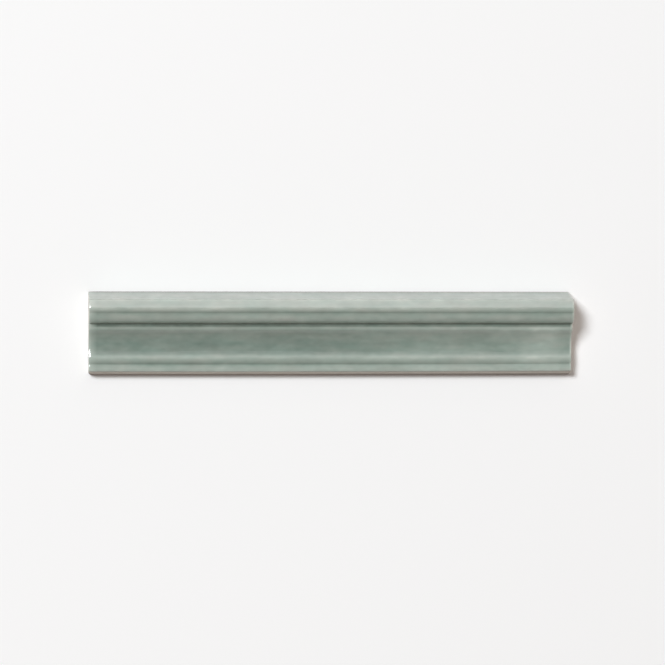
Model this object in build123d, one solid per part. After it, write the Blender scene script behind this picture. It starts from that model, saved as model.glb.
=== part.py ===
from build123d import *
from math import asin, atan2, cos, degrees, radians, sin, sqrt
import os

os.makedirs("parts", exist_ok=True)

# A dado moulding tile in one piece of glazed ceramic, lying on its back. Sizes are in mm.
# X runs along the rail, +Y is its upper edge on the wall and +Z points out of the wall.
# A station is a distance down the rail from its upper edge; a height is counted from the back.
# The cove takes up what the other widths leave of the tile's.
tile_length = 200.0
tile_width = 34.6

# Upright foot along both long sides, where the rail meets the tiles above and below it
foot_height = 1.0
upper_side_run = 3.3

# Upper roll, with a gently arched crown between it and the arris
crown_run = 3.85
crown_slope = 24.0
crown_ease = 14.0
roll_height = 16.7
roll_radius = 2.65

# Second bead, tucked against the roll, which falls upright into the quirk
bead_spacing = 2.0
bead_drop = 0.6
bead_radius = 4.05

# Shallow quirk at the bead's foot, and the fillet with its rounded nose
fillet_height = 11.2
quirk_depth = 0.2
quirk_floor = 0.4
quirk_rise = 1.0
fillet_width = 0.4
nose_radius = 1.8

# Floor of the cove, and the long sweep from it up to the low bead
floor_height = 7.25
sweep_run = 4.7
low_bead_rise = 0.5
low_bead_radius = 3.9

# Low bead's fall into the groove, and the flat band
low_bead_fall = 2.5
groove_rise = 1.05
band_drop = 0.25
band_width = 1.9

# Bare lower side: a short step, a ledge and the slope to the foot
lower_side_run = 0.25
lower_side_drop = 1.3
ledge_run = 0.6
ledge_drop = 0.6
foot_slope_run = 0.8

# Radii that the glaze leaves on the arrises and in the creases
arris_radius = 0.9
crease_radius = 0.3
groove_radius = 0.6
end_radius = 0.8

# Keying grooves in the unglazed back, in pairs about a plain land in the middle
key_pairs = 2
key_width = 3.0
key_depth = 0.8
key_pitch = 7.2


def at(station, height):
    return Vector(tile_width / 2 - station, height)


def on_circle(centre, radius, angle):
    # The angle is counted from straight up, positive down the rail
    return centre + Vector(-radius * sin(radians(angle)), radius * cos(radians(angle)))


def angle_from(centre, point):
    return degrees(atan2(centre.X - point.X, point.Y - centre.Y))


def arc(centre, radius, start_angle, end_angle):
    middle = (start_angle + end_angle) / 2
    return ThreePointArc(*(on_circle(centre, radius, a) for a in (start_angle, middle, end_angle)))


def crossing(centre_a, radius_a, centre_b, radius_b):
    # The upper of the two points where two circles cross
    gap = centre_b - centre_a
    along = (gap.length**2 + radius_a**2 - radius_b**2) / (2 * gap.length)
    above = sqrt(radius_a**2 - along**2)
    unit = gap.normalized()
    return centre_a + unit * along + Vector(unit.Y, -unit.X) * above


def moulding_section():
    # Crown, an arc that runs smoothly into the roll
    roll_station = upper_side_run + crown_run
    roll_centre = at(roll_station, roll_height - roll_radius)
    crown_end = on_circle(roll_centre, roll_radius, -crown_ease)
    arch = sin(radians(crown_slope)) - sin(radians(crown_ease))
    crown_radius = (tile_width / 2 - upper_side_run - crown_end.X) / arch
    crown_centre = on_circle(crown_end, -crown_radius, -crown_ease)
    upper_arris = on_circle(crown_centre, crown_radius, -crown_slope)

    # Bead, quirk and fillet
    bead_station = roll_station + bead_spacing
    bead_centre = at(bead_station, roll_height - bead_drop - bead_radius)
    crease = crossing(roll_centre, roll_radius, bead_centre, bead_radius)
    quirk_height = fillet_height - quirk_depth
    above_centre = max(0, quirk_height - bead_centre.Y)
    quirk_start = at(bead_station + sqrt(bead_radius**2 - above_centre**2), quirk_height)
    wall_station = bead_station + bead_radius
    quirk_end = at(wall_station + quirk_floor, quirk_height)
    fillet_station = wall_station + quirk_floor + quirk_rise
    fillet_start = at(fillet_station, fillet_height)
    nose_station = fillet_station + fillet_width
    nose_centre = at(nose_station, fillet_height - nose_radius)

    # Lower side, band and groove, counted back from the lower edge
    ledge_end_station = tile_width - foot_slope_run
    ledge_station = ledge_end_station - ledge_run
    arris_station = ledge_station - lower_side_run
    band_height = floor_height - band_drop
    ledge_height = band_height - lower_side_drop
    lower_arris = at(arris_station, band_height)
    ledge_start = at(ledge_station, ledge_height)
    ledge_end = at(ledge_end_station, ledge_height - ledge_drop)
    band_station = arris_station - band_width
    band_start = at(band_station, band_height)

    # Low bead, and the sweep that meets it smoothly from the cove's floor
    low_bead_station = band_station - groove_rise - low_bead_fall
    lift = low_bead_radius - low_bead_rise
    low_bead_centre = at(low_bead_station, floor_height - lift)
    low_bead_end = degrees(asin(low_bead_fall / low_bead_radius))
    groove = on_circle(low_bead_centre, low_bead_radius, low_bead_end)
    floor_station = low_bead_station - sweep_run
    sweep_radius = (sweep_run**2 + lift**2 - low_bead_radius**2) / (2 * low_bead_rise)
    sweep_centre = at(floor_station, floor_height + sweep_radius)
    meeting = angle_from(low_bead_centre, sweep_centre)

    # Cove, which meets the nose as smoothly
    cove_run = floor_station - nose_station
    cove_drop = fillet_height - floor_height
    cove_radius = (cove_run**2 + cove_drop**2) / (2 * cove_drop) - nose_radius
    cove_centre = at(floor_station, floor_height + cove_radius)
    nose_end = 180 + angle_from(cove_centre, nose_centre)

    with BuildSketch(Plane.YZ) as section:
        # Upper part, which ends upright at the bead's widest point
        with BuildLine():
            Polyline(at(0, 0), at(0, foot_height), upper_arris)
            arc(crown_centre, crown_radius, -crown_slope, -crown_ease)
            arc(roll_centre, roll_radius, -crown_ease, angle_from(roll_centre, crease))
            arc(bead_centre, bead_radius, angle_from(bead_centre, crease), 90)
            Polyline(at(wall_station, bead_centre.Y), at(wall_station, 0), at(0, 0))
        make_face()

        # Lower part, from under the bead to the lower edge
        with BuildLine():
            Polyline(at(bead_station, 0), at(bead_station, quirk_height), quirk_end, fillet_start,
                     at(nose_station, fillet_height))
            arc(nose_centre, nose_radius, 0, nose_end)
            arc(cove_centre, -cove_radius, nose_end, 0)
            arc(sweep_centre, -sweep_radius, 0, meeting)
            arc(low_bead_centre, low_bead_radius, meeting, low_bead_end)
            Polyline(groove, band_start, lower_arris, ledge_start, ledge_end,
                     at(tile_width, foot_height), at(tile_width, 0), at(bead_station, 0))
        make_face()
        rounded = [
            (upper_arris, arris_radius),
            (crease, crease_radius),
            (quirk_start, crease_radius),
            (groove, groove_radius),
            (lower_arris, arris_radius),
        ]
        for corner, radius in rounded:
            fillet(section.vertices().sort_by_distance(corner)[0], radius)
    return section.sketch


def dado_tile():
    with BuildPart() as tile:
        extrude(moulding_section(), amount=tile_length / 2, both=True)

        # Glaze rounds the arrises of both ends over the moulded face, above the feet
        ends = tile.faces().filter_by(Axis.X)
        moulded = ends.edges().filter_by(lambda edge: edge.center().Z > foot_height)
        fillet(moulded, end_radius)

        # Keying grooves, open at both ends
        for pair in range(key_pairs):
            offset = (pair + 0.5) * key_pitch
            with Locations((0, offset, 0), (0, -offset, 0)):
                Box(tile_length, key_width, 2 * key_depth, mode=Mode.SUBTRACT)
    return tile.part


export_step(dado_tile(), "parts/dado_tile.step")
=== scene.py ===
import math
import bpy
from mathutils import Matrix, Vector


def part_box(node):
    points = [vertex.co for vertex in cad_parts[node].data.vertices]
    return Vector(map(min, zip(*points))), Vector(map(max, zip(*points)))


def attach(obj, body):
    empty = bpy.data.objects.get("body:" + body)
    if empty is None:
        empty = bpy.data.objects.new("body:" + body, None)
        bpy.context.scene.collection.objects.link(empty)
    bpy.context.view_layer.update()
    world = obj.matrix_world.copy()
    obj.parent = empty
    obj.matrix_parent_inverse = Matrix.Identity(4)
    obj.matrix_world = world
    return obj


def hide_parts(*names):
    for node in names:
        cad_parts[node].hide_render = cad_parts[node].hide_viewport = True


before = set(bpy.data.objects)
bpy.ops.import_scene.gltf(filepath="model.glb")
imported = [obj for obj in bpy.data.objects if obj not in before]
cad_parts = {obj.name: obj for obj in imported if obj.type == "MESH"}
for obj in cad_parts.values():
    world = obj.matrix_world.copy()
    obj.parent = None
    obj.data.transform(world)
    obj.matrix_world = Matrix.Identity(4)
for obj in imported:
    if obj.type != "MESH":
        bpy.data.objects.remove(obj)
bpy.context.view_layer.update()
mm = 0.001
print("frame loaded")


def linearColour(code):
    # From an sRGB hex code
    channels = [int(code[i:i + 2], 16) / 255 for i in (1, 3, 5)]
    return [c / 12.92 if c <= 0.04045 else ((c + 0.055) / 1.055) ** 2.4 for c in channels] + [1.0]


def addNode(tree, kind, settings=None, values=None, links=None):
    # settings are the node's own properties, values its free sockets and links its joined ones
    node = tree.nodes.new(kind)
    for name, setting in (settings or {}).items():
        setattr(node, name, setting)
    for socket, value in (values or {}).items():
        node.inputs[socket].default_value = value
    for socket, source in (links or {}).items():
        tree.links.new(source, node.inputs[socket])
    return node


# The tile's section, in mm and degrees: widths are counted down the rail from its upper edge, heights
# from the back
moulding = {
    "footHeight": 1.0,
    "upperSideWidth": 3.3,
    "crownWidth": 3.85,
    "crownSlope": 24.0,
    "crownEase": 14.0,
    "rollHeight": 16.7,
    "rollRadius": 2.65,
    "beadSpacing": 2.0,
    "beadDrop": 0.6,
    "beadRadius": 4.05,
    "filletHeight": 11.2,
    "quirkDepth": 0.08,  # the glaze fills most of it
    "quirkFloor": 0.4,
    "quirkRise": 1.0,
    "filletWidth": 0.4,
    "noseRadius": 1.8,
    "floorHeight": 7.25,
    "sweepWidth": 4.7,
    "lowBeadRise": 0.5,
    "lowBeadRadius": 3.9,
    "lowBeadFall": 2.5,
    "grooveRise": 1.05,
    "bandDrop": 0.25,
    "bandWidth": 1.9,
    "lowerSideWidth": 0.25,
    "lowerSideDrop": 1.3,
    "ledgeWidth": 0.6,
    "ledgeDrop": 0.6,
    "footSlopeWidth": 0.8,
    "keyPlaces": (1.5, 0.5, -0.5, -1.5),  # in pitches from the middle of the back
    "keyPitch": 7.2,
    "keyWidth": 3.0,
    "keyDepth": 0.8,
}

# How the glaze lies on it, and how firing changed it, in mm and degrees
glazeCoat = {
    # How finely the outline is drawn, how far the glaze softens it, and which of its points are kept
    "sampleStep": 0.05,
    "softenReach": 0.2,
    "softenPasses": 2,
    "turnPerPoint": 5.0,
    "longestStep": 0.7,
    "creaseReach": 0.7,
    "bulgeReach": 2.0,
    # Where the glaze ends, counted past the lower arris, and what tells the points of the back from the
    # rest: more than any distance past that arris
    "glazeEdge": -0.12,
    "backMark": 90.0,
    # How much of a face's normal lies along X on the two ends, and along Y on the long sides
    "endNormal": 0.999,
    "sideNormal": 0.2,
    "crispAngle": 40.0,
    # How the ends are rounded: the bare lower side more, by this much for each mm below the glaze
    "leftRounding": {"run": 1.3, "slope": 16.0},
    "rightRounding": {"run": 0.5, "slope": 35.0},
    "cornerGain": 0.8,
    "endRings": 8,
    "ringSpacing": 1.5,
    # Slow waver of the surface, which calms down as the glaze ends
    "waver": {"depth": 0.18, "length": 24.0, "width": 6.0, "detail": 1.0, "roughness": 0.4, "seed": 4.0,
              "fullBefore": -1.5, "calmFrom": -0.2},
    # Bow of the body: the lower edge stands higher towards both ends, by this depth at the one that is
    # farther from the bow's middle, and the higher the power, the less the upper parts follow
    "bow": {"depth": 0.2, "middle": -20.0, "power": 3},
    # How thick the glaze stands at each station down the rail, from 0, thin, to 1, a deep pool
    # Painted light: the stops from 13.5 to 14.9 are the bead's painted shadow, the dip at 31.9 a painted
    # highlight
    "thicknessAndShading": [
        (0.0, 1.0), (0.4, 0.6), (0.9, 0.45), (1.4, 0.3), (2.9, 0.27), (3.2, 0.1), (3.4, 0.1), (3.8, 0.33),
        (6.1, 0.36), (6.7, 0.2), (7.4, 0.2), (8.0, 0.4), (8.8, 0.75), (9.4, 0.68), (10.4, 0.36),
        (11.5, 0.25), (12.4, 0.42), (12.8, 0.4), (13.2, 0.0), (13.5, 0.6), (13.8, 1.2), (14.2, 1.4),
        (14.6, 0.9), (14.9, 0.62), (15.4, 0.54), (16.0, 0.55), (18.0, 0.58), (19.6, 0.75), (21.5, 0.95),
        (23.5, 0.92), (24.3, 0.9), (25.2, 0.98), (25.9, 0.8), (26.6, 0.45), (27.3, 0.15), (28.2, 0.35),
        (29.0, 0.5), (30.0, 0.7), (30.5, 0.62), (31.3, 0.32), (31.9, 0.2), (32.5, 0.35), (32.9, 0.4),
        (34.6, 0.0),
    ],
    # How far its green turns to a warm grey there, from 0, bluish green, to 1, greyish brown
    # From 13.7 to 15.0 it gives the painted shadow of the bead a grey, shade-like hue
    "warmth": [
        (0.0, 0.6), (3.0, 0.6), (4.0, 0.7), (8.0, 0.6), (11.0, 0.4), (12.3, 0.4), (12.8, 0.0),
        (13.3, 0.0), (13.7, 0.5), (14.2, 0.8), (15.0, 0.8), (15.6, 0.35), (17.5, 0.4), (19.5, 0.4),
        (22.0, 0.3), (25.0, 0.3), (27.0, 0.4), (31.0, 0.35), (34.6, 0.6),
    ],
    # How much lighter the glaze is made at each station, or darker where less than 0, and what share of
    # that it gets at each place from the left end
    "lightenedAcross": [
        (0.0, 0.0), (3.0, 0.0), (4.0, -0.15), (7.5, -0.15), (8.5, 0.0), (13.0, 0.0), (14.0, 0.2),
        (15.3, 0.5), (18.0, 0.5), (20.0, 0.55), (22.0, 0.7), (24.5, 0.6), (26.0, 0.3), (27.3, 0.15),
        (28.5, 0.3), (30.0, 0.5), (31.5, 0.1), (34.6, 0.0),
    ],
    "lightenedAlong": [
        (0.0, 0.1), (45.0, 0.0), (105.0, 0.0), (130.0, 0.25), (165.0, 0.35), (177.0, 0.6), (187.0, 1.0),
        (193.0, 0.95), (197.0, 0.6), (200.0, 0.6),
    ],
}


def arcPoints(centre, radius, startAngle, endAngle):
    # Angles in degrees from straight up, positive down the rail
    steps = max(2, round(math.radians(abs(endAngle - startAngle)) * radius / glazeCoat["sampleStep"]))
    angles = [math.radians(startAngle + (endAngle - startAngle) * i / steps) for i in range(steps + 1)]
    return [(centre[0] + radius * math.sin(a), centre[1] + radius * math.cos(a)) for a in angles]


def linePoints(start, end):
    steps = max(1, round(math.dist(start, end) / glazeCoat["sampleStep"]))
    return [tuple(a + (b - a) * i / steps for a, b in zip(start, end)) for i in range(steps + 1)]


def angleAt(centre, point):
    return math.degrees(math.atan2(point[0] - centre[0], point[1] - centre[1]))


def mouldedFace(m, width):
    # The outline over the face, from the upper foot to the lower one, as (station, height)
    rollStation = m["upperSideWidth"] + m["crownWidth"]
    rollCentre = (rollStation, m["rollHeight"] - m["rollRadius"])
    ease, slope = math.radians(m["crownEase"]), math.radians(m["crownSlope"])
    crownEnd = (rollStation - m["rollRadius"] * math.sin(ease),
                rollCentre[1] + m["rollRadius"] * math.cos(ease))
    crownRadius = (crownEnd[0] - m["upperSideWidth"]) / (math.sin(slope) - math.sin(ease))
    crownCentre = (crownEnd[0] + crownRadius * math.sin(ease),
                   crownEnd[1] - crownRadius * math.cos(ease))
    crown = arcPoints(crownCentre, crownRadius, -m["crownSlope"], -m["crownEase"])

    # Where the roll and the bead cross
    beadCentre = (rollStation + m["beadSpacing"], m["rollHeight"] - m["beadDrop"] - m["beadRadius"])
    gap = math.dist(rollCentre, beadCentre)
    along = (gap**2 + m["rollRadius"] ** 2 - m["beadRadius"] ** 2) / (2 * gap)
    above = math.sqrt(m["rollRadius"] ** 2 - along**2)
    unit = [(b - a) / gap for a, b in zip(rollCentre, beadCentre)]
    crease = (rollCentre[0] + unit[0] * along - unit[1] * above,
              rollCentre[1] + unit[1] * along + unit[0] * above)

    # Quirk and fillet
    wall = beadCentre[0] + m["beadRadius"]
    quirkHeight = m["filletHeight"] - m["quirkDepth"]
    quirkEnd = wall + m["quirkFloor"]
    filletStart = quirkEnd + m["quirkRise"]
    filletEnd = filletStart + m["filletWidth"]

    # Band and lower side, counted back from the lower edge
    ledgeEnd = width - m["footSlopeWidth"]
    ledgeStart = ledgeEnd - m["ledgeWidth"]
    lowerArris = ledgeStart - m["lowerSideWidth"]
    bandHeight = m["floorHeight"] - m["bandDrop"]
    ledgeHeight = bandHeight - m["lowerSideDrop"]
    bandStart = lowerArris - m["bandWidth"]
    groove = bandStart - m["grooveRise"]
    lowBeadStation = groove - m["lowBeadFall"]
    lowBeadCentre = (lowBeadStation, m["floorHeight"] + m["lowBeadRise"] - m["lowBeadRadius"])
    lowBeadEnd = math.degrees(math.asin(m["lowBeadFall"] / m["lowBeadRadius"]))

    # Cove from the rounded nose of the fillet to its lowest point
    lowest = (lowBeadStation - m["sweepWidth"], m["floorHeight"])
    noseCentre = (filletEnd, m["filletHeight"] - m["noseRadius"])
    coveRun = lowest[0] - filletEnd
    coveDrop = m["filletHeight"] - m["floorHeight"]
    coveRadius = (coveRun**2 + coveDrop**2) / (2 * coveDrop) - m["noseRadius"]
    coveCentre = (lowest[0], lowest[1] + coveRadius)
    noseEnd = angleAt(noseCentre, coveCentre)

    # Sweep from there that meets the low bead smoothly
    lift = lowest[1] - lowBeadCentre[1]
    spread = m["sweepWidth"] ** 2 + lift**2 - m["lowBeadRadius"] ** 2
    sweepRadius = spread / (2 * (m["lowBeadRadius"] - lift))
    sweepCentre = (lowest[0], lowest[1] + sweepRadius)
    meeting = angleAt(lowBeadCentre, sweepCentre)

    strokes = [
        linePoints((0, m["footHeight"]), crown[0]),
        crown,
        arcPoints(rollCentre, m["rollRadius"], -m["crownEase"], angleAt(rollCentre, crease)),
        arcPoints(beadCentre, m["beadRadius"], angleAt(beadCentre, crease), 90),
        linePoints((wall, beadCentre[1]), (wall, quirkHeight)),
        linePoints((wall, quirkHeight), (quirkEnd, quirkHeight)),
        linePoints((quirkEnd, quirkHeight), (filletStart, m["filletHeight"])),
        linePoints((filletStart, m["filletHeight"]), (filletEnd, m["filletHeight"])),
        arcPoints(noseCentre, m["noseRadius"], 0, noseEnd),
        arcPoints(coveCentre, coveRadius, 180 + noseEnd, 180),
        arcPoints(sweepCentre, sweepRadius, 180, 180 + meeting),
        arcPoints(lowBeadCentre, m["lowBeadRadius"], meeting, lowBeadEnd),
    ]
    corners = [strokes[-1][-1], (bandStart, bandHeight), (lowerArris, bandHeight),
               (ledgeStart, ledgeHeight), (ledgeEnd, ledgeHeight - m["ledgeDrop"]),
               (width, m["footHeight"])]
    strokes += [linePoints(start, end) for start, end in zip(corners, corners[1:])]
    points = []
    for stroke in strokes:
        points += stroke[1 if points else 0:]
    return points, ledgeStart


def runningMean(points, reach):
    # Each point becomes the mean of those within reach of it, and fewer near the two ends, which stay
    half = round(reach / glazeCoat["sampleStep"])
    result = []
    for i in range(len(points)):
        span = min(half, i, len(points) - 1 - i)
        near = points[i - span:i + span + 1]
        result.append(tuple(sum(axis) / len(near) for axis in zip(*near)))
    return result


def outwardAt(points, i):
    before = points[max(i - 1, 0)]
    after = points[min(i + 1, len(points) - 1)]
    run = (after[0] - before[0], after[1] - before[1])
    length = math.hypot(*run) or 1
    return (-run[1] / length, run[0] / length)


def creaseDepth(points, outward):
    # How deep each point lies in a crease, in mm; less than 0 on an arris
    mean = runningMean(points, glazeCoat["creaseReach"])
    return [(q[0] - p[0]) * o[0] + (q[1] - p[1]) * o[1] for p, q, o in zip(points, mean, outward)]


def glazeAt(quality, place):
    stops = glazeCoat[quality]
    for (s0, t0), (s1, t1) in zip(stops, stops[1:]):
        if place <= s1:
            return t0 + (t1 - t0) * (place - s0) / (s1 - s0)
    return stops[-1][1]


def sectionOutline(width):
    # Points round the whole section, each with its place, its way out and what the glaze does there
    coat = glazeCoat
    face, glazeEnd = mouldedFace(moulding, width)
    for _ in range(coat["softenPasses"]):
        face = runningMean(face, coat["softenReach"])
    outward = [outwardAt(face, i) for i in range(len(face))]
    crease = creaseDepth(face, outward)
    bulge = runningMean(outward, coat["bulgeReach"])
    lastGlazed = [i for i, p in enumerate(face) if p[0] >= glazeEnd][0]
    past = [(i - lastGlazed) * coat["sampleStep"] for i in range(len(face))]
    gain = [1 + coat["cornerGain"] * max(0, distance) for distance in past]

    # Few points on straight stretches and many where the outline turns
    chosen = []
    turned = 0.0
    lastKept = 0
    for i, p in enumerate(face):
        a, b = outward[max(i - 1, 0)], outward[i]
        turned += math.degrees(math.acos(max(-1, min(1, a[0] * b[0] + a[1] * b[1]))))
        far = (i - lastKept) * coat["sampleStep"] > coat["longestStep"]
        if i in (0, len(face) - 1) or turned > coat["turnPerPoint"] or far:
            chosen.append({
                "at": p, "out": [gain[i] * part for part in bulge[i]], "pastArris": past[i],
                "crease": crease[i], "thicknessAndShading": glazeAt("thicknessAndShading", p[0]),
                "warmth": glazeAt("warmth", p[0]), "lightenedAcross": glazeAt("lightenedAcross", p[0]),
            })
            turned = 0.0
            lastKept = i

    # Feet, and the back with its keying grooves
    def bare(station, height, out):
        return {"at": (station, height), "out": out, "pastArris": coat["backMark"] + 1, "crease": 0,
                "thicknessAndShading": 0, "warmth": 0, "lightenedAcross": 0}

    chosen[0]["out"] = (-1, 0)
    chosen[-1]["out"] = (gain[-1], 0)
    back = [bare(width, 0, (gain[-1], 0))]
    for key in moulding["keyPlaces"]:
        middle = width / 2 + key * moulding["keyPitch"]
        for side, height in ((1, 0), (1, 1), (-1, 1), (-1, 0)):
            station = middle + side * moulding["keyWidth"] / 2
            back.append(bare(station, height * moulding["keyDepth"], (0, 0)))
    back.append(bare(0, 0, (-1, 0)))
    return chosen + back


def outlineMesh(name, points, attributes, closed):
    mesh = bpy.data.meshes.new(name)
    count = len(points)
    edges = [(i, i + 1) for i in range(count - 1)] + ([(count - 1, 0)] if closed else [])
    mesh.from_pydata(points, edges, [])
    for attribute, (kind, values) in attributes.items():
        layer = mesh.attributes.new(attribute, kind, "POINT")
        for item, value in zip(layer.data, values):
            if kind == "FLOAT":
                item.value = value
            else:
                item.vector = value
    shape = bpy.data.objects.new(name, mesh)
    bpy.context.scene.collection.objects.link(shape)
    return shape


def railRings(length):
    # Places along the rail, close together on the rounded ends, and how far the face drops there
    rings = glazeCoat["endRings"]

    def rounded(end, side):
        # An arc that slopes most at the end itself
        edge = math.radians(end["slope"])
        radius = end["run"] / math.sin(edge)
        angles = [edge * (1 - i / rings) for i in range(rings)]
        return [(side * (length / 2 - end["run"] + radius * math.sin(a)), radius * (1 - math.cos(a)))
                for a in angles]

    left = rounded(glazeCoat["leftRounding"], -1)
    right = rounded(glazeCoat["rightRounding"], 1)[::-1]
    start = -length / 2 + glazeCoat["leftRounding"]["run"]
    plain = length / 2 - glazeCoat["rightRounding"]["run"] - start
    spans = round(plain / glazeCoat["ringSpacing"])
    middle = [(start + plain * i / spans, 0.0) for i in range(spans + 1)]
    return left + middle + right


def buildSweepTree():
    coat, waver = glazeCoat, glazeCoat["waver"]
    tree = bpy.data.node_groups.new("glazedRailSweep", "GeometryNodeTree")
    sockets = tree.interface
    sockets.new_socket("Geometry", in_out="OUTPUT", socket_type="NodeSocketGeometry")
    sockets.new_socket("Geometry", in_out="INPUT", socket_type="NodeSocketGeometry")
    for name, kind in (("Section", "Object"), ("Waver Depth", "Float"), ("Waver Length", "Float"),
                       ("Waver Width", "Float"), ("Seed", "Float"), ("Crisp Angle", "Float"),
                       ("Glaze", "Material"), ("Biscuit", "Material"), ("Glaze Edge", "Float"),
                       ("Back Mark", "Float")):
        sockets.new_socket(name, in_out="INPUT", socket_type="NodeSocket" + kind)
    given = addNode(tree, "NodeGroupInput").outputs

    # The section is swept along the rings of the rail
    rail = addNode(tree, "GeometryNodeMeshToCurve", links={"Mesh": given["Geometry"]})
    section = addNode(tree, "GeometryNodeObjectInfo", links={"Object": given["Section"]})
    outline = addNode(tree, "GeometryNodeMeshToCurve", links={"Mesh": section.outputs["Geometry"]})
    swept = addNode(tree, "GeometryNodeCurveToMesh", values={"Fill Caps": True},
                    links={"Curve": rail.outputs["Curve"], "Profile Curve": outline.outputs["Curve"]})

    # Each point goes to its ring and its place in the bowed section, less the rounding of the ends
    named = {}
    for name, kind in (("along", "FLOAT"), ("endDrop", "FLOAT"), ("inSection", "FLOAT_VECTOR"),
                       ("outward", "FLOAT_VECTOR"), ("pastArris", "FLOAT"), ("bow", "FLOAT"),
                       ("bowShare", "FLOAT")):
        node = addNode(tree, "GeometryNodeInputNamedAttribute", {"data_type": kind}, {"Name": name})
        named[name] = node.outputs["Attribute"]
    bowed = addNode(tree, "ShaderNodeMath", {"operation": "MULTIPLY"},
                    links={0: named["bow"], 1: named["bowShare"]})
    ringPlace = addNode(tree, "ShaderNodeCombineXYZ", links={"X": named["along"], "Y": bowed.outputs[0]})
    unrounded = addNode(tree, "ShaderNodeVectorMath", {"operation": "ADD"},
                        links={0: ringPlace.outputs[0], 1: named["inSection"]})
    drop = addNode(tree, "ShaderNodeVectorMath", {"operation": "SCALE"},
                   links={0: named["outward"], "Scale": named["endDrop"]})
    place = addNode(tree, "ShaderNodeVectorMath", {"operation": "SUBTRACT"},
                    links={0: unrounded.outputs[0], 1: drop.outputs[0]})
    placed = addNode(tree, "GeometryNodeSetPosition",
                     links={"Geometry": swept.outputs["Mesh"], "Position": place.outputs[0]})

    # The glaze wavers slowly along the rail and only ever lies below the moulded shape
    position = addNode(tree, "GeometryNodeInputPosition")
    waverSize = addNode(tree, "ShaderNodeCombineXYZ",
                        links={"X": given["Waver Length"], "Y": given["Waver Width"],
                               "Z": given["Waver Width"]})
    waverPlace = addNode(tree, "ShaderNodeVectorMath", {"operation": "DIVIDE"},
                         links={0: position.outputs[0], 1: waverSize.outputs[0]})
    noise = addNode(tree, "ShaderNodeTexNoise", {"noise_dimensions": "4D"},
                    {"Scale": 1.0, "Detail": waver["detail"], "Roughness": waver["roughness"]},
                    {"Vector": waverPlace.outputs[0], "W": given["Seed"]})
    below = addNode(tree, "ShaderNodeMath", {"operation": "MULTIPLY"},
                    links={0: noise.outputs["Fac"], 1: given["Waver Depth"]})
    calm = addNode(tree, "ShaderNodeMapRange",
                   values={"From Min": waver["calmFrom"], "From Max": waver["fullBefore"]},
                   links={"Value": named["pastArris"]})
    glazedBelow = addNode(tree, "ShaderNodeMath", {"operation": "MULTIPLY"},
                          links={0: below.outputs[0], 1: calm.outputs[0]})
    inward = addNode(tree, "ShaderNodeMath", {"operation": "MULTIPLY"}, {1: -1.0},
                     {0: glazedBelow.outputs[0]})
    offset = addNode(tree, "ShaderNodeVectorMath", {"operation": "SCALE"},
                     links={0: named["outward"], "Scale": inward.outputs[0]})
    wavered = addNode(tree, "GeometryNodeSetPosition",
                      links={"Geometry": placed.outputs[0], "Offset": offset.outputs[0]})

    # Crisp corners on the bare clay, soft ones under the glaze
    smooth = addNode(tree, "GeometryNodeSetShadeSmooth", {"domain": "FACE"},
                     links={"Geometry": wavered.outputs[0]})
    corner = addNode(tree, "GeometryNodeInputMeshEdgeAngle")
    gentle = addNode(tree, "ShaderNodeMath", {"operation": "LESS_THAN"},
                     links={0: corner.outputs["Unsigned Angle"], 1: given["Crisp Angle"]})
    edged = addNode(tree, "GeometryNodeSetShadeSmooth", {"domain": "EDGE"},
                    links={"Geometry": smooth.outputs[0], "Shade Smooth": gentle.outputs[0]})

    # The clay of both long sides is marked: it is darker and greyer there, with painted shade along their
    # feet
    normal = addNode(tree, "GeometryNodeInputNormal")
    facing = addNode(tree, "ShaderNodeSeparateXYZ", links={0: normal.outputs[0]})
    sideSize = addNode(tree, "ShaderNodeMath", {"operation": "ABSOLUTE"}, links={0: facing.outputs["Y"]})
    isUpright = addNode(tree, "ShaderNodeMath", {"operation": "GREATER_THAN"}, {1: coat["sideNormal"]},
                        {0: sideSize.outputs[0]})
    isOutside = addNode(tree, "ShaderNodeMath", {"operation": "LESS_THAN"},
                        links={0: named["pastArris"], 1: given["Back Mark"]})
    isLongSide = addNode(tree, "ShaderNodeMath", {"operation": "MULTIPLY"},
                         links={0: isUpright.outputs[0], 1: isOutside.outputs[0]})
    marked = addNode(tree, "GeometryNodeStoreNamedAttribute", {"data_type": "FLOAT", "domain": "FACE"},
                     {"Name": "longSide"},
                     {"Geometry": edged.outputs[0], "Value": isLongSide.outputs[0]})

    # Glaze over the face and the upper side, bare biscuit on the rest
    whole = addNode(tree, "GeometryNodeRealizeInstances", links={"Geometry": marked.outputs[0]})
    glazed = addNode(tree, "GeometryNodeSetMaterial",
                     links={"Geometry": whole.outputs[0], "Material": given["Glaze"]})
    isBare = addNode(tree, "ShaderNodeMath", {"operation": "GREATER_THAN"},
                     links={0: named["pastArris"], 1: given["Glaze Edge"]})
    endSize = addNode(tree, "ShaderNodeMath", {"operation": "ABSOLUTE"}, links={0: facing.outputs["X"]})
    isEnd = addNode(tree, "ShaderNodeMath", {"operation": "GREATER_THAN"}, {1: coat["endNormal"]},
                    {0: endSize.outputs[0]})
    bareFaces = addNode(tree, "ShaderNodeMath", {"operation": "MAXIMUM"},
                        links={0: isBare.outputs[0], 1: isEnd.outputs[0]})
    finished = addNode(tree, "GeometryNodeSetMaterial",
                       links={"Geometry": glazed.outputs[0], "Selection": bareFaces.outputs[0],
                              "Material": given["Biscuit"]})
    addNode(tree, "NodeGroupOutput", links={"Geometry": finished.outputs[0]})
    return tree


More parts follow.
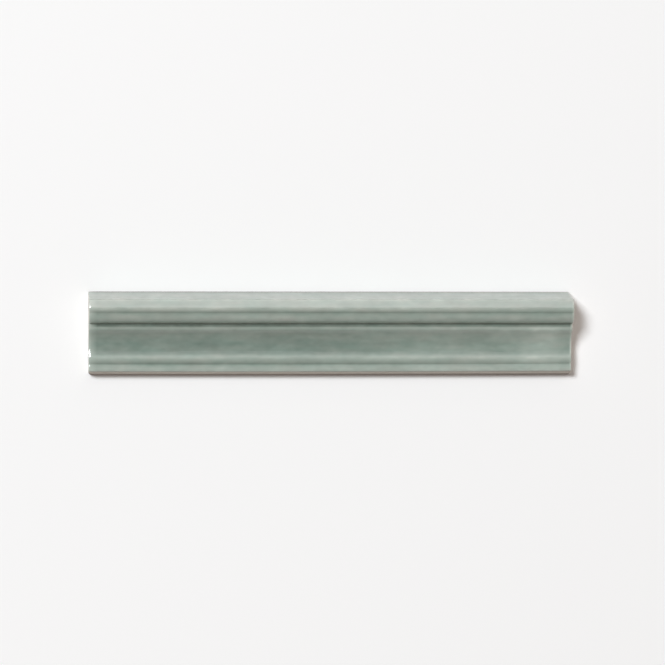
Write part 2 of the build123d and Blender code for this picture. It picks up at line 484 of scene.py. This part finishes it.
def makeTile(glaze, biscuit):
    coat, waver, bow = glazeCoat, glazeCoat["waver"], glazeCoat["bow"]
    low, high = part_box("dado_tile")
    length = (high[0] - low[0]) / mm
    width = (high[1] - low[1]) / mm
    outline = sectionOutline(width)
    places = [(0, (width / 2 - p["at"][0]) * mm, p["at"][1] * mm) for p in outline]
    attributes = {name: ("FLOAT", [p[name] for p in outline])
                  for name in ("pastArris", "crease", "thicknessAndShading", "warmth", "lightenedAcross")}
    attributes["inSection"] = ("FLOAT_VECTOR", places)
    attributes["outward"] = ("FLOAT_VECTOR", [(0, -p["out"][0], p["out"][1]) for p in outline])
    attributes["bowShare"] = ("FLOAT", [(p["at"][0] / width) ** bow["power"] for p in outline])
    section = outlineMesh("sectionOutline", places, attributes, closed=True)

    rings = railRings(length)
    farthest = length / 2 + abs(bow["middle"])
    bows = [bow["depth"] * ((along - bow["middle"]) / farthest) ** 2 for along, _ in rings]
    tile = outlineMesh("glazed_dado_tile", [(along * mm, 0, 0) for along, _ in rings], {
        "along": ("FLOAT", [along * mm for along, _ in rings]),
        "endDrop": ("FLOAT", [drop * mm for _, drop in rings]),
        "bow": ("FLOAT", [depth * mm for depth in bows]),
        "lightenedAlong": ("FLOAT", [glazeAt("lightenedAlong", along + length / 2) for along, _ in rings]),
    }, closed=False)

    sweep = tile.modifiers.new("sweep", "NODES")
    sweep.node_group = buildSweepTree()
    wanted = {
        "Section": section, "Waver Depth": waver["depth"] * mm, "Waver Length": waver["length"] * mm,
        "Waver Width": waver["width"] * mm, "Seed": waver["seed"],
        "Crisp Angle": math.radians(coat["crispAngle"]), "Glaze": glaze, "Biscuit": biscuit,
        "Glaze Edge": coat["glazeEdge"], "Back Mark": coat["backMark"],
    }
    for item in sweep.node_group.interface.items_tree:
        if item.in_out == "INPUT" and item.name in wanted:
            sweep[item.identifier] = wanted[item.name]
    seen = tile.evaluated_get(bpy.context.evaluated_depsgraph_get())
    solid = bpy.data.meshes.new_from_object(seen)
    tile.modifiers.clear()
    tile.data = solid
    bpy.data.objects.remove(section)
    return tile


# Celadon: a glossy, slightly green glaze over a cream body, fired lying flat; lengths in mm
celadon = {
    # From thin to thick glaze, and the thicknesses at which they begin and end
    "tints": [(0.0, "#D2D3CB"), (0.18, "#B2BBB2"), (0.36, "#9EA9A0"), (0.6, "#8A988E"), (0.86, "#6F8177"),
              (1.0, "#556459")],
    "tintLow": -0.3,
    "tintHigh": 1.3,
    # Each pattern's grain along the three axes, and below how far the first three change the thickness
    "patterns": {
        "streaks": {"grain": (30.0, 3.0, 15.0), "detail": 1.5, "roughness": 0.5, "seed": 1.3},
        "patches": {"grain": (12.0, 4.5, 18.0), "detail": 2.0, "roughness": 0.5, "seed": 7.1},
        "mottles": {"grain": (4.5, 2.5, 12.0), "detail": 1.0, "roughness": 0.5, "seed": 5.4},
        "hueDrift": {"grain": (11.0, 3.2, 15.0), "detail": 2.0, "roughness": 0.5, "seed": 3.7},
        "ripples": {"grain": (20.0, 3.5, 15.0), "detail": 1.0, "roughness": 0.4, "seed": 9.2},
    },
    "streakDepth": 0.2,
    "patchDepth": 0.45,
    "mottleDepth": 0.35,
    "creaseGain": 1.6,
    # How far from each end it begins to thin, and what share of it is gone at the end itself
    "leftThinning": (3.4, 1.0),
    "rightThinning": (1.0, 1.6),
    "warm": "#AAA59C",
    "cool": "#92AB9F",
    "hueSwing": 1.5,
    "hueDepth": 0.3,
    "roughness": 0.08,
    "ior": 1.54,
    "rippleHeight": 0.01,
}


def celadonGlaze(endX):
    # A clear glossy skin whose green deepens where it pools and breaks to the cream body on the arrises
    # Beside the quirk its darker green is painted shadow, and above the lower arris a paler strip is a
    # painted highlight
    c = celadon
    noiseMiddle = 0.5
    material = bpy.data.materials.new("celadonGlaze")
    material.use_nodes = True
    tree = material.node_tree
    shader = tree.nodes["Principled BSDF"]
    place = addNode(tree, "ShaderNodeTexCoord").outputs["Object"]
    pattern = {}
    for name, p in c["patterns"].items():
        scaled = addNode(tree, "ShaderNodeMapping",
                         values={"Scale": [1 / (size * mm) for size in p["grain"]],
                                 "Location": (p["seed"],) * 3}, links={"Vector": place})
        noise = addNode(tree, "ShaderNodeTexNoise",
                        values={"Scale": 1.0, "Detail": p["detail"], "Roughness": p["roughness"]},
                        links={"Vector": scaled.outputs[0]})
        pattern[name] = noise.outputs["Fac"]
    painted = {}
    for name in ("thicknessAndShading", "crease", "lightenedAcross", "lightenedAlong", "warmth"):
        painted[name] = addNode(tree, "ShaderNodeAttribute", {"attribute_name": name}).outputs["Fac"]

    # How thick the glaze stands here: by the section, then in streaks, patches and creases
    lightening = addNode(tree, "ShaderNodeMath", {"operation": "MULTIPLY"},
                      links={0: painted["lightenedAcross"], 1: painted["lightenedAlong"]})
    # The section's stops include the painted shadow beside the quirk and the painted highlight on the
    # band
    laid = painted["thicknessAndShading"]
    for source, gain, middle in ((pattern["streaks"], c["streakDepth"], noiseMiddle),
                                 (pattern["patches"], c["patchDepth"], noiseMiddle),
                                 (pattern["mottles"], c["mottleDepth"], noiseMiddle),
                                 (painted["crease"], c["creaseGain"], 0.0),
                                 (lightening.outputs[0], -1.0, 0.0)):
        part = addNode(tree, "ShaderNodeMath", {"operation": "MULTIPLY_ADD"},
                       {1: gain, 2: -gain * middle}, {0: source})
        laid = addNode(tree, "ShaderNodeMath", {"operation": "ADD"},
                       links={0: laid, 1: part.outputs[0]}).outputs[0]
    axes = addNode(tree, "ShaderNodeSeparateXYZ", links={0: place})
    for side, (reach, most) in ((-1, c["leftThinning"]), (1, c["rightThinning"])):
        thinned = addNode(tree, "ShaderNodeMapRange",
                          values={"From Min": side * (endX - reach * mm), "From Max": side * endX,
                                  "To Min": 1.0, "To Max": 1 - most}, links={"Value": axes.outputs["X"]})
        laid = addNode(tree, "ShaderNodeMath", {"operation": "MULTIPLY"},
                       links={0: laid, 1: thinned.outputs[0]}).outputs[0]
    step = addNode(tree, "ShaderNodeMapRange",
                   values={"From Min": c["tintLow"], "From Max": c["tintHigh"]}, links={"Value": laid})
    ramp = addNode(tree, "ShaderNodeValToRGB", links={"Fac": step.outputs[0]})
    stops = ramp.color_ramp.elements
    for position, _ in c["tints"][1:-1]:
        stops.new(position)
    for stop, (position, colour) in zip(stops, c["tints"]):
        stop.position = position
        stop.color = linearColour(colour)

    # Warmer and bluer green by the section, with lengthwise drifts
    swing = addNode(tree, "ShaderNodeMath", {"operation": "MULTIPLY_ADD"},
                    {1: c["hueSwing"], 2: -c["hueSwing"] * noiseMiddle}, {0: pattern["hueDrift"]})
    warmed = addNode(tree, "ShaderNodeMath", {"operation": "ADD", "use_clamp": True},
                     links={0: painted["warmth"], 1: swing.outputs[0]})
    drift = addNode(tree, "ShaderNodeMix", {"data_type": "RGBA"},
                    {"A": linearColour(c["cool"]), "B": linearColour(c["warm"])},
                    {"Factor": warmed.outputs[0]})
    tinted = addNode(tree, "ShaderNodeMix", {"data_type": "RGBA", "blend_type": "COLOR"},
                     {"Factor": c["hueDepth"]},
                     {"A": ramp.outputs["Color"], "B": drift.outputs["Result"]})
    tree.links.new(tinted.outputs["Result"], shader.inputs["Base Color"])
    shader.inputs["Roughness"].default_value = c["roughness"]
    shader.inputs["IOR"].default_value = c["ior"]
    bump = addNode(tree, "ShaderNodeBump", values={"Strength": 1.0, "Distance": c["rippleHeight"] * mm},
                   links={"Height": pattern["ripples"]})
    tree.links.new(bump.outputs[0], shader.inputs["Normal"])
    return material


# Lengths in mm
clay = {
    "tints": ("#D9D4CA", "#E6E1D8"),
    # Darker and greyer, for the clay of the long sides
    "sideTints": ("#BAB4AA", "#C9C2B8"),
    "grit": {"size": 0.6, "detail": 3.0, "roughness": 0.6, "seed": 2.0},
    # Painted shade on the feet of the long sides: full up to this height, and fading out above it
    "footShadeTint": "#7D736A",
    "footHeight": 2.0,
    "footShadeFade": 3.0,
    "roughness": 0.9,
}


def buffBiscuit():
    # Pressed earthenware fired without glaze: matt, pale buff and finely gritty, darker and greyer on
    # the long sides, and with painted shade along their feet
    c, grit = clay, clay["grit"]
    material = bpy.data.materials.new("buffBiscuit")
    material.use_nodes = True
    tree = material.node_tree
    shader = tree.nodes["Principled BSDF"]
    place = addNode(tree, "ShaderNodeTexCoord").outputs["Object"]
    scaled = addNode(tree, "ShaderNodeMapping",
                     values={"Scale": (1 / (grit["size"] * mm),) * 3, "Location": (grit["seed"],) * 3},
                     links={"Vector": place})
    noise = addNode(tree, "ShaderNodeTexNoise",
                    values={"Scale": 1.0, "Detail": grit["detail"], "Roughness": grit["roughness"]},
                    links={"Vector": scaled.outputs[0]})
    clean, greyed = [
        addNode(tree, "ShaderNodeMix", {"data_type": "RGBA"},
                {"A": linearColour(dark), "B": linearColour(pale)},
                {"Factor": noise.outputs["Fac"]}).outputs["Result"]
        for dark, pale in (c["tints"], c["sideTints"])]
    axes = addNode(tree, "ShaderNodeSeparateXYZ", links={0: place})
    onSide = addNode(tree, "ShaderNodeAttribute", {"attribute_name": "longSide"}).outputs["Fac"]
    tone = addNode(tree, "ShaderNodeMix", {"data_type": "RGBA"},
                   links={"Factor": onSide, "A": clean, "B": greyed})
    # Painted shade, darkest at the feet of the long sides and fading out above them
    nearFoot = addNode(tree, "ShaderNodeMapRange",
                       values={"From Min": (c["footHeight"] + c["footShadeFade"]) * mm,
                               "From Max": c["footHeight"] * mm}, links={"Value": axes.outputs["Z"]})
    footShadeShare = addNode(tree, "ShaderNodeMath", {"operation": "MULTIPLY"},
                      links={0: onSide, 1: nearFoot.outputs[0]})
    footShaded = addNode(tree, "ShaderNodeMix", {"data_type": "RGBA"}, {"B": linearColour(c["footShadeTint"])},
                     {"Factor": footShadeShare.outputs[0], "A": tone.outputs["Result"]})
    tree.links.new(footShaded.outputs["Result"], shader.inputs["Base Color"])
    shader.inputs["Roughness"].default_value = c["roughness"]
    return material


# Soft daylight from the upper left over white paper, with pale cards that only the gloss shows.
# Lengths in metres
studio = {
    "floorSize": 6.0,
    "floorColour": "#F9F9F8",
    "floorRoughness": 0.9,
    "cameraHeight": 1.684,
    "cameraSide": -0.146,
    "lookAt": (0.00118, 0.00033, 0.0),
    "viewWidth": 0.27586,
    "sensorWidth": 36.0,
    "clipEnd": 20.0,
    "roomColour": "#FFF3EB",
    "roomStrength": 0.30,
    "roomTilt": 0.55,  # by what share the room is brighter at its right side than in the middle
    "softbox": {"direction": (-0.45, 0.385, 1.0), "distance": 5.5, "size": 1.6, "colour": "#F7FBFF",
                "power": 258.0},
    "cardColour": "#FFFFFF",
    "cards": {
        "upperCard": {"place": (-0.1, 0.95, 1.14), "size": (1.5, 0.9), "power": 14.4},
        "topCard": {"place": (-0.1, 0.36, 1.14), "size": (1.5, 0.26), "power": 1.6},
    },
}


def whitePaper():
    # Matt and without any sheen, so that only the tile's soft shadow shows on it
    material = bpy.data.materials.new("whitePaper")
    material.use_nodes = True
    shader = material.node_tree.nodes["Principled BSDF"]
    shader.inputs["Base Color"].default_value = linearColour(studio["floorColour"])
    shader.inputs["Roughness"].default_value = studio["floorRoughness"]
    shader.inputs["Specular IOR Level"].default_value = 0.0
    return material


def areaLamp(name, power, size, colour):
    data = bpy.data.lights.new(name, "AREA")
    data.shape = "RECTANGLE"
    data.size, data.size_y = size
    data.energy = power
    data.color = linearColour(colour)[:3]
    lamp = bpy.data.objects.new(name, data)
    bpy.context.scene.collection.objects.link(lamp)
    return lamp


def makeStudio():
    s = studio
    mesh = bpy.data.meshes.new("floor")
    half = s["floorSize"] / 2
    mesh.from_pydata([(-half, -half, 0), (half, -half, 0), (half, half, 0), (-half, half, 0)], [],
                     [(0, 1, 2, 3)])
    floor = bpy.data.objects.new("floor", mesh)
    bpy.context.scene.collection.objects.link(floor)
    mesh.materials.append(whitePaper())

    # A dim room whose light grows from left to right
    world = bpy.data.worlds.new("softRoom")
    world.use_nodes = True
    tree = world.node_tree
    background = tree.nodes["Background"]
    background.inputs["Color"].default_value = linearColour(s["roomColour"])
    direction = addNode(tree, "ShaderNodeSeparateXYZ",
                        links={0: addNode(tree, "ShaderNodeTexCoord").outputs["Generated"]})
    strength = addNode(tree, "ShaderNodeMath", {"operation": "MULTIPLY_ADD"},
                       {1: s["roomTilt"] * s["roomStrength"], 2: s["roomStrength"]},
                       {0: direction.outputs["X"]})
    tree.links.new(strength.outputs[0], background.inputs["Strength"])
    bpy.context.scene.world = world

    box = s["softbox"]
    key = areaLamp("softbox", box["power"], (box["size"], box["size"]), box["colour"])
    key.location = Vector(box["direction"]).normalized() * box["distance"]
    key.rotation_euler = (-key.location).to_track_quat("-Z", "Y").to_euler()
    for name, card in s["cards"].items():
        lamp = areaLamp(name, card["power"], card["size"], s["cardColour"])
        lamp.location = card["place"]
        lamp.visible_diffuse = False

    # High above the tile and to the left of it, so that its heights shift a little to the right
    data = bpy.data.cameras.new("camera")
    camera = bpy.data.objects.new("camera", data)
    bpy.context.scene.collection.objects.link(camera)
    place = Vector((s["cameraSide"], s["lookAt"][1], s["cameraHeight"]))
    target = Vector(s["lookAt"])
    forward = (target - place).normalized()
    right = forward.cross(Vector((0, 1, 0))).normalized()
    up = right.cross(forward)
    turn = Matrix((right, up, -forward)).transposed()
    camera.matrix_world = Matrix.Translation(place) @ turn.to_4x4()
    data.sensor_width = s["sensorWidth"]
    data.lens = data.sensor_width * (target - place).length / s["viewWidth"]
    data.clip_end = s["clipEnd"]
    bpy.context.scene.camera = camera


tile = makeTile(celadonGlaze(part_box("dado_tile")[1][0]), buffBiscuit())
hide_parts("dado_tile")
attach(tile, "root")
print("tile made:", len(tile.data.polygons), "faces")

makeStudio()
bpy.context.scene.view_settings.view_transform = "Standard"
print("studio set")
